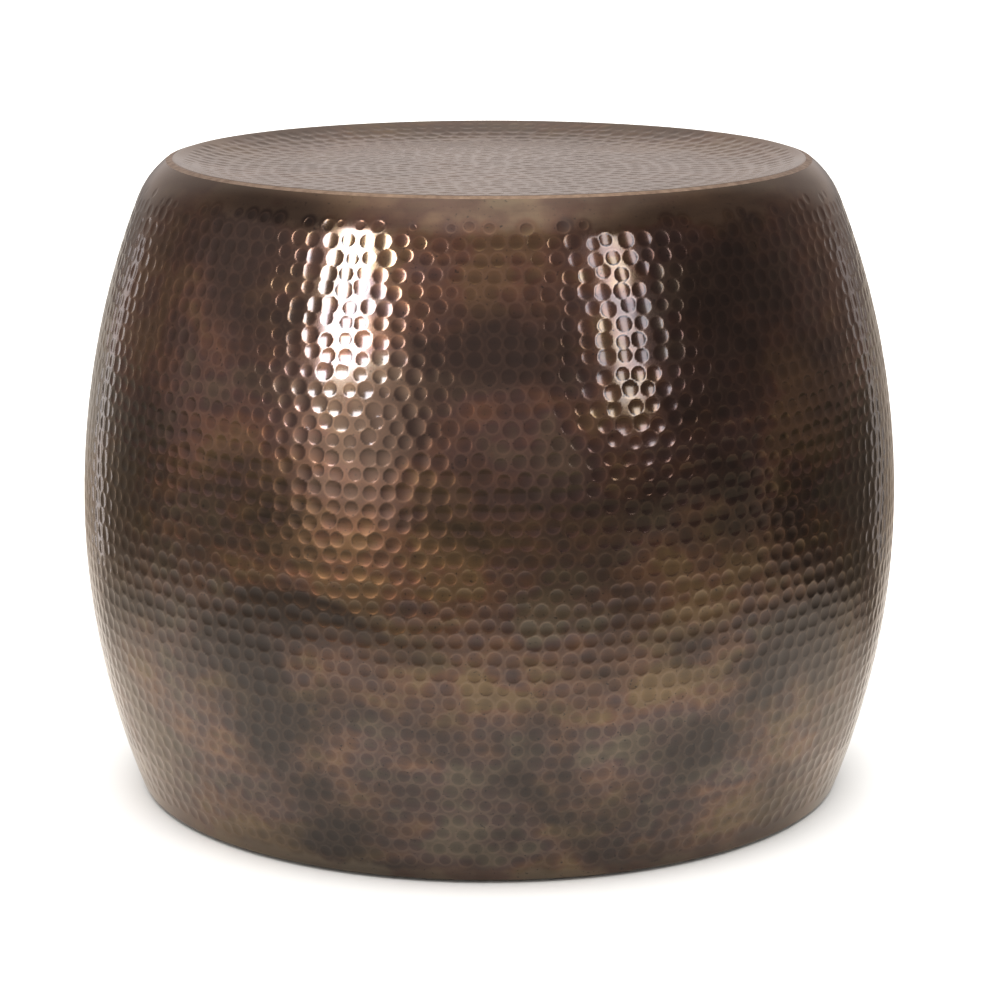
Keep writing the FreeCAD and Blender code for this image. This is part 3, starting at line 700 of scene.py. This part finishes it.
def makeCopper():
    # Copper sheet, hammered cold, darkened with a sulphide wash, rubbed back and lacquered. The eye sees
    # a dark brown mirror with cloudy red, olive and violet areas, hollows that the wash left darker, and
    # thin lips worn brighter in patches. Inside, the copper is raw, paler and without lacquer.
    made, add = newMaterial("antiquedHammeredCopper")
    coords = add("TexCoord").outputs["Object"]
    mark = add("Attribute", attribute_name="hammer").outputs["Fac"]
    lying = add("Mapping", {"Vector": coords, "Location": patina["drift"], "Scale": patina["lie"]})
    moved = add("Mapping", {"Vector": lying, "Location": patina["hueDrift"]})
    rubbed = add("Mapping", {"Vector": coords, "Scale": patina["rubWay"]})
    clouds = add("TexNoise", {
        "Vector": lying, "Scale": 1 / (patina["patch"] * mm), "Detail": 4.0, "Roughness": 0.55,
        "Distortion": 0.4})
    mottle = add("TexNoise", {
        "Vector": moved, "Scale": 1 / (patina["mottle"] * mm), "Detail": 3.0, "Roughness": 0.5})
    hue = add("TexNoise", {
        "Vector": moved, "Scale": patina["hueShare"] / (patina["patch"] * mm), "Detail": 3.0,
        "Roughness": 0.6})
    streaks = add("TexNoise", {"Vector": rubbed, "Scale": 1 / (patina["streak"] * mm), "Detail": 3.0})
    fine = add("TexNoise", {"Vector": coords, "Scale": 1 / (patina["speck"] * mm), "Detail": 2.0})

    # clouds of hue, darkened in larger clouds, and a browner or brassier bare sheet
    tint = add("MapRange", {"Value": mottle, **noiseSpan, "To Min": -0.10, "To Max": 0.10})
    tinted = add("Math", {0: hue, 1: tint}, operation="ADD")
    warm = add("ValToRGB", {"Fac": tinted}, [
        (0.34, patina["greyGreen"]), (0.43, patina["greyViolet"]), (0.53, patina["redCopper"]),
        (0.59, patina["oliveGold"])])
    dark = add("ValToRGB", {"Fac": clouds}, [(0.38, 1), (0.60, 0)])
    cloudy = add("Mix", {"Factor": dark, "A": warm, "B": patina["darkBrown"]}, **colours)
    bare = add("MapRange", {"Value": mark, "From Min": 1.4, "From Max": 2.0, "To Max": 0.55})
    rub = add("ValToRGB", {"Fac": tinted}, [(0.42, patina["stain"]), (0.56, patina["brass"])])
    banded = add("Mix", {"Factor": bare, "A": cloudy, "B": rub}, **colours)

    # streaks, wash pooled in the hollows, worn lips and pin specks
    streaky = add("MapRange", {"Value": streaks, **noiseSpan, "To Min": 0.84, "To Max": 1.16})
    pooled = add("MapRange", {"Value": mark, "From Min": 0.3, "From Max": 0.9, "To Min": 0.8})
    washed = add("Math", {0: streaky, 1: pooled}, **product)
    brushed = add("Mix", {"Factor": 1.0, "A": banded, "B": washed}, blend_type="MULTIPLY", **colours)
    halved = add("Math", {0: mark, 1: 0.5}, **product)
    lip = add("ValToRGB", {"Fac": halved}, [(0.40, 0), (0.47, 0.24), (0.53, 0.24), (0.62, 0.08)])
    patchy = add("MapRange", {
        "Value": clouds, "From Min": 0.40, "From Max": 0.62, "To Min": 0.38, "To Max": 1.1})
    wear = add("Math", {0: lip, 1: patchy}, **product)
    worn = add("Mix", {"Factor": wear, "A": brushed, "B": patina["lip"]}, **colours)
    speck = add("ValToRGB", {"Fac": fine}, [(0.27, 0.25), (0.34, 1)])
    colour = add("Mix", {"Factor": 1.0, "A": worn, "B": speck}, blend_type="MULTIPLY", **colours)

    # the raw inside, the gloss, and the lip and the grain as relief
    inside = add("Math", {0: mark, 1: -0.5}, operation="LESS_THAN")
    raw = add("ValToRGB", {"Fac": mottle}, [(0.35, patina["rawDark"]), (0.65, patina["rawLight"])])
    skin = add("Mix", {"Factor": inside, "A": colour, "B": raw}, **colours)
    gloss = add("MapRange", {
        "Value": mottle, **noiseSpan, "To Min": patina["roughness"] + 0.07,
        "To Max": patina["roughness"] - 0.04})
    sheen = add("Mix", {"Factor": inside, "A": gloss, "B": 0.5}, data_type="FLOAT")
    lacquer = add("Math", {0: 1.0, 1: inside}, operation="SUBTRACT")
    turnUp = add("MapRange", {"Value": mark, "From Min": 0.74, "From Max": 1.04}, **smooth)
    step = add("Bump", {"Height": turnUp, "Strength": 1.0, "Distance": patina["lipStep"] * mm})
    grain = add("Bump", {
        "Height": fine, "Strength": 0.05, "Distance": patina["speckDepth"] * mm, "Normal": step})
    shader = add("BsdfPrincipled", {
        "Base Color": skin, "Metallic": 1.0, "Roughness": sheen, "Specular Tint": patina["edgeTint"],
        "Normal": grain, "Coat Weight": lacquer, "Coat Roughness": 0.1})
    add("OutputMaterial", {"Surface": shader})
    return made


copper = makeCopper()
for piece in shells + [trayTop]:
    piece.data.materials.append(copper)

# finishes of the pieces that keep their CAD mesh: two tones, cloud size in mm, roughness and relief
finishes = {
    # bronze filler, filed flush: a bright, pitted line
    "dressedBronzeBraze": {"light": "#b7a08a", "dark": "#8b7665", "cloud": 7.0, "roughness": 0.34,
                           "metallic": 1.0, "bump": 0.25, "nodes": ["rim_braze", "waist_braze"]},
    # mild steel with its mill scale: blue-grey and dull
    "millScaleSteel": {"light": "#6d6b69", "dark": "#3c3a3a", "cloud": 9.0, "roughness": 0.5,
                       "metallic": 1.0, "bump": 0.1,
                       "nodes": ["brace_hoop", "brace_bar_long", "brace_bar_cross", "base_ring"]},
    # zinc-plated rivets: pale, with a soft gloss
    "zincPlatedSteel": {"light": "#b9b8b2", "dark": "#8d8c88", "cloud": 3.0, "roughness": 0.4,
                        "metallic": 1.0, "bump": 0.1, "nodes": ["base_rivets"]},
    # moulded rubber: black and matte
    "mouldedRubber": {"light": "#232323", "dark": "#161616", "cloud": 2.0, "roughness": 0.75,
                      "metallic": 0.0, "bump": 0.1, "nodes": [f"foot_{n}" for n in range(1, 7)]},
}
reliefDepth = 0.4  # mm, the height of their grain


def makeFinish(name, look):
    # cloudy two-tone surface: one noise of the given cloud size for colour, gloss and grain
    made, add = newMaterial(name)
    noise = add("TexNoise", {
        "Vector": add("TexCoord").outputs["Object"], "Scale": 1 / (look["cloud"] * mm), "Detail": 5.0,
        "Roughness": 0.6})
    ramp = add("ValToRGB", {"Fac": noise}, [(0.35, look["dark"]), (0.65, look["light"])])
    gloss = add("MapRange", {
        "Value": noise, **noiseSpan, "To Min": look["roughness"] + 0.1, "To Max": look["roughness"] - 0.05})
    grain = add("Bump", {"Height": noise, "Strength": look["bump"], "Distance": reliefDepth * mm})
    shader = add("BsdfPrincipled", {
        "Base Color": ramp, "Metallic": look["metallic"], "Roughness": gloss, "Normal": grain})
    add("OutputMaterial", {"Surface": shader})
    return made


for finishName, look in finishes.items():
    finish = makeFinish(finishName, look)
    for node in look["nodes"]:
        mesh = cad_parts[node].data
        mesh.materials.clear()
        mesh.materials.append(finish)
print("finishes on", len(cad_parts), "nodes")

# camera from the outline fit: a long lens a little above the table, for square pictures
view = {"distance": 2.184, "height": 0.709, "pitch": 13.117, "yaw": -0.2, "lens": 111.8, "sensor": 36}
camera = addObject("viewCamera", bpy.data.cameras.new("viewCamera"))
camera.location = (0, -view["distance"], view["height"])
camera.rotation_euler = (math.radians(90 - view["pitch"]), 0, math.radians(view["yaw"]))
camera.data.lens = view["lens"]
camera.data.sensor_width = view["sensor"]
bpy.context.scene.camera = camera

# the floor that the camera sees, and the one that only the copper reflects, with light and shade painted on
# it
floors = {
    "paint": "#f3f2f0",
    "half": 30.0,         # m, half the side of the seen floor and of the reflected one
    "mirrorHalf": 9.0,
    "mirrorLift": 0.002,  # m above the seen floor
    "roughness": 0.85,
    # near, ahead and behind are painted light: bright round the drum, dimmer in front of it and behind it
    "near": "#d8d2cb",    # the reflected floor round the drum, in front of it and behind it
    "ahead": "#837668",
    "behind": "#8d8882",
    # the bright oval is painted light on the reflected floor
    "whiteX": 0.64,       # m, half width and half depth of the bright oval round the drum
    "whiteY": 0.60,
    "dusk": "#3d3833",    # in the shade beside and behind the drum, deeper on the right
    "duskLeft": 0.65,
    "duskRight": 0.95,
    "drumEdge": 0.45,     # the drum's half width on the scale of the oval
    "pool": "#c8ad94",    # the warm spot's light on the floor
    "poolAt": (-1.2, -1.5, 0.0),
    "poolRadius": 1.1,
}


def stageMesh(name, spots, faces, material):
    # a mesh of the studio in one material, added to the scene without a body
    mesh = bpy.data.meshes.new(name)
    mesh.from_pydata(spots, [], faces)
    mesh.materials.append(material)
    made = addObject(name, mesh)
    return made


def makeFlat(name, half, level, paint):
    # a level square of twice the half side, in a hex colour or in what a function makes of nodes
    made, add = newMaterial(name + "Paint")
    colour = paint if isinstance(paint, str) else paint(add)
    shader = add("BsdfPrincipled", {"Base Color": colour, "Roughness": floors["roughness"]})
    add("OutputMaterial", {"Surface": shader})
    corners = [(-half, -half, level), (half, -half, level), (half, half, level), (-half, half, level)]
    return stageMesh(name, corners, [(0, 1, 2, 3)], made)


def fadeFloor(add):
    # painted light and shade: bright round the drum, dim beyond an oval edge, a painted shade behind its
    # flanks, with one painted warm pool of light
    coords = add("TexCoord").outputs["Object"]
    spread = add("Mapping", {"Vector": coords, "Scale": (1 / floors["whiteX"], 1 / floors["whiteY"], 0.0)})
    place = add("SeparateXYZ", {"Vector": spread}).outputs
    far = add("VectorMath", {0: spread}, operation="LENGTH")
    # painted light fall-off: the near colour gives way to the dimmer ones away from the drum
    fade = add("MapRange", {"Value": far, "From Min": 0.45, "From Max": 1.75}, **smooth)
    back = add("MapRange", {"Value": place["Y"], "From Min": 0.9, "From Max": 2.6}, **smooth)
    leftward = add("MapRange", {"Value": place["X"], "From Min": 0.8, "From Max": -0.5, "To Min": 0.6})
    white = add("Math", {0: back, 1: leftward}, **product)
    beyond = add("Mix", {"Factor": white, "A": floors["ahead"], "B": floors["behind"]}, **colours)
    shade = add("Mix", {"Factor": fade, "A": floors["near"], "B": beyond}, **colours)

    # dusk, a painted shade: how far past the drum's edge a place lies for its depth, towards the rear, and on
    # which side
    aside = add("Math", {0: place["X"]}, operation="ABSOLUTE")
    past = add("Math", {0: aside, 1: floors["drumEdge"]}, operation="SUBTRACT")
    depth = add("Math", {0: place["Y"], 1: 0.02}, operation="MAXIMUM")
    slant = add("Math", {0: past, 1: depth}, operation="DIVIDE")
    flank = add("MapRange", {"Value": slant, "From Min": 0.1, "From Max": 0.9})
    sweep = add("Math", {0: place["X"], 1: 0.6, 2: -0.6}, operation="MULTIPLY_ADD", use_clamp=True)
    wheeled = add("Math", {0: place["Y"], 1: sweep}, operation="ADD")
    rear = add("MapRange", {"Value": wheeled, "From Min": -0.25, "From Max": 0.4})
    deep = add("MapRange", {
        "Value": place["X"], "From Min": -0.3, "From Max": 0.3, "To Min": floors["duskLeft"],
        "To Max": floors["duskRight"]})
    behindIt = add("Math", {0: flank, 1: rear}, **product)
    corner = add("Math", {0: behindIt, 1: deep}, **product)
    dusky = add("Mix", {"Factor": corner, "A": shade, "B": floors["dusk"]}, **colours)

    # a painted pool of warm light on the reflected floor
    reach = add("VectorMath", {0: coords, 1: floors["poolAt"]}, operation="DISTANCE")
    pool = add("MapRange", {"Value": reach, "From Min": floors["poolRadius"], "From Max": 0.0}, **smooth)
    return add("Mix", {"Factor": pool, "A": dusky, "B": floors["pool"]}, **colours)


makeFlat("studioFloor", floors["half"], 0, floors["paint"])
mirrorFloor = makeFlat("mirrorFloor", floors["mirrorHalf"], floors["mirrorLift"], fadeFloor)

# the room that the copper reflects, as light from a dome
room = {
    "radius": 6.0,       # m
    "rings": 25,
    "spokes": 73,
    "climb": 0.4999,     # of half a turn, a hair short of the zenith
    "front": "#ffdfd4",  # warm walls in front, brighter on the left
    "left": 0.80,
    "right": 0.29,
    "flank": 0.4,        # how much of it is left beside the drum
    "back": "#fff2ed",   # pale wall behind, weaker towards both sides
    "backGlow": 0.63,
    "backSides": 0.45,
    "top": "#fff1e4",    # soft light overhead
    "topGlow": 1.75,
}


def makeDome():
    # half a sphere: warm and dim in front, pale behind, a soft glow overhead
    turn, rise = np.meshgrid(np.linspace(0, 2 * np.pi, room["spokes"]),
                             np.linspace(0, room["climb"] * np.pi, room["rings"]))
    grid = np.stack([np.cos(rise) * np.cos(turn), np.cos(rise) * np.sin(turn), np.sin(rise)], -1)
    spots = room["radius"] * grid.reshape(-1, 3)
    made, add = newMaterial("mirrorRoomGlow")
    way = add("SeparateXYZ", {"Vector": add("TexCoord").outputs["Object"]}).outputs
    side = add("MapRange", {
        "Value": way["X"], "From Min": 0.3, "From Max": 4.5, "To Min": room["left"],
        "To Max": room["right"]}, **smooth)
    under = add("MapRange", {
        "Value": way["Z"], "From Min": 3.2, "From Max": 4.4, "To Min": 1.0, "To Max": 0.45}, **smooth)
    flank = add("MapRange", {
        "Value": way["Y"], "From Min": -0.6, "From Max": 2.4, "To Min": 1.0, "To Max": room["flank"]},
        **smooth)
    shut = add("Math", {0: under, 1: flank}, **product)
    dimmed = add("Math", {0: side, 1: shut}, **product)
    front = add("Math", {0: dimmed, 1: room["right"]}, operation="MAXIMUM")
    rising = add("Math", {0: way["Z"], 1: 0.5, 2: way["Y"]}, operation="MULTIPLY_ADD")
    back = add("MapRange", {"Value": rising, "From Min": 4.1, "From Max": 5.6}, **smooth)
    aside = add("Math", {0: way["X"]}, operation="ABSOLUTE")
    pale = add("MapRange", {
        "Value": aside, "From Min": 0.0, "From Max": 3.0, "To Min": room["backGlow"],
        "To Max": room["backSides"]})
    low = add("MapRange", {"Value": way["Z"], "From Min": 0.2, "From Max": 1.0, "To Min": 0.5})
    paleHigh = add("Math", {0: pale, 1: low}, **product)
    walls = add("Mix", {"Factor": back, "A": front, "B": paleHigh}, data_type="FLOAT")
    tone = add("Mix", {"Factor": back, "A": room["front"], "B": room["back"]}, **colours)
    high = add("MapRange", {"Value": way["Z"], "From Min": 3.6, "From Max": 5.8}, **smooth)
    wide = add("MapRange", {"Value": aside, "From Min": 3.6, "From Max": 0.6}, **smooth)
    over = add("Math", {0: high, 1: wide}, **product)
    strength = add("Mix", {"Factor": over, "A": walls, "B": room["topGlow"]}, data_type="FLOAT")
    colour = add("Mix", {"Factor": over, "A": tone, "B": room["top"]}, **colours)
    glow = add("Emission", {"Color": colour, "Strength": strength})
    add("OutputMaterial", {"Surface": glow})
    return stageMesh("mirrorRoom", spots.tolist(), gridFaces(grid).tolist(), made)


# Lights stand round the drum: azimuth in degrees from the viewer's side to the right, distance from the
# axis and height of the middle in m, power in W.
glowCard = {"azimuth": -36, "distance": 2.1, "middle": 0.58, "radius": 0.9,
            "strength": 2.9, "colour": "#ffdcc0"}
slim = {"roll": 0, "distance": 0.78, "middle": 0.23, "width": 0.07, "height": 0.44, "colour": "#f4f6ff"}
strips = {
    "leftStrip": {"azimuth": -44.5, "roll": -12, "distance": 2.1, "middle": 1.63,
                  "width": 0.46, "height": 1.6, "power": 49, "colour": "#eff3ff"},
    "rightStrip": {"azimuth": 39, "roll": 3, "distance": 2.1, "middle": 1.36,
                   "width": 0.28, "height": 1.35, "power": 8.3, "colour": "#eff3ff"},
    "leftRim": {"azimuth": -121, "power": 0.095, **slim},  # from behind, caught by the marks at the edges
    "rightRim": {"azimuth": 121, "power": 0.038, **slim},
}
overhead = {"spread": 70, "strength": 4.2}  # degrees across, and W/m2 on the floor
surround = {"colour": "#fffdfa", "strength": 0.9}  # the plain white that the camera sees


def standRound(made, spec, tilt, roll):
    # at an azimuth and a distance from the axis, turned to face it
    azimuth = math.radians(spec["azimuth"])
    away = spec["distance"]
    made.location = (away * math.sin(azimuth), -away * math.cos(azimuth), spec["middle"])
    made.rotation_euler = (math.radians(tilt), math.radians(roll), azimuth)


def makeGlow(spec):
    # a clear upright card, a warm spot under the left strip whose light dies away from its middle
    half = spec["radius"]
    corners = [(-half, 0, -half), (half, 0, -half), (half, 0, half), (-half, 0, half)]
    made, add = newMaterial("softWarmSpot")
    reach = add("VectorMath", {0: add("TexCoord").outputs["Object"]}, operation="LENGTH")
    level = add("MapRange", {
        "Value": reach, "From Min": half, "From Max": 0.0, "To Max": spec["strength"]}, **smooth)
    glow = add("Emission", {"Color": spec["colour"], "Strength": level})
    both = add("AddShader", {0: glow, 1: add("BsdfTransparent")})
    add("OutputMaterial", {"Surface": both})
    card = stageMesh("leftGlow", corners, [(0, 1, 2, 3)], made)
    standRound(card, spec, 0, 0)
    return card


for mirrored in (mirrorFloor, makeDome(), makeGlow(glowCard)):
    # seen in the copper, and by nothing else
    for ray in ("camera", "diffuse", "shadow", "transmission"):
        setattr(mirrored, "visible_" + ray, False)


def addLamp(name, kind, hidden, **settings):
    # a lamp with its settings, hidden from the camera and from one more kind of ray
    lamp = bpy.data.lights.new(name, kind)
    for key, setting in settings.items():
        setattr(lamp, key, setting)
    made = addObject(name, lamp)
    made.visible_camera = False
    setattr(made, hidden, False)
    return made


def makeWorld():
    # one colour and strength all round
    world = bpy.data.worlds.new("studioSurround")
    bpy.context.scene.world = world
    world.use_nodes = True
    world.node_tree.nodes.clear()
    add = partial(addNode, world.node_tree)
    glow = add("Background", {"Color": surround["colour"], "Strength": surround["strength"]})
    add("OutputWorld", {"Surface": glow})


for stripName, spec in strips.items():
    # upright soft boxes that face the table, seen in the copper, without a hard shadow on the floor
    strip = addLamp(stripName, "AREA", "visible_diffuse", shape="RECTANGLE", size=spec["width"],
                    size_y=spec["height"], energy=spec["power"], color=hexColour(spec["colour"])[:3])
    standRound(strip, spec, 90, spec["roll"])
# a wide soft sun from straight above, which whitens the floor and leaves no disc on the copper
addLamp("overhead", "SUN", "visible_glossy", angle=math.radians(overhead["spread"]),
        energy=overhead["strength"])
makeWorld()
bpy.context.scene.view_settings.view_transform = "Standard"
print("studio ready")
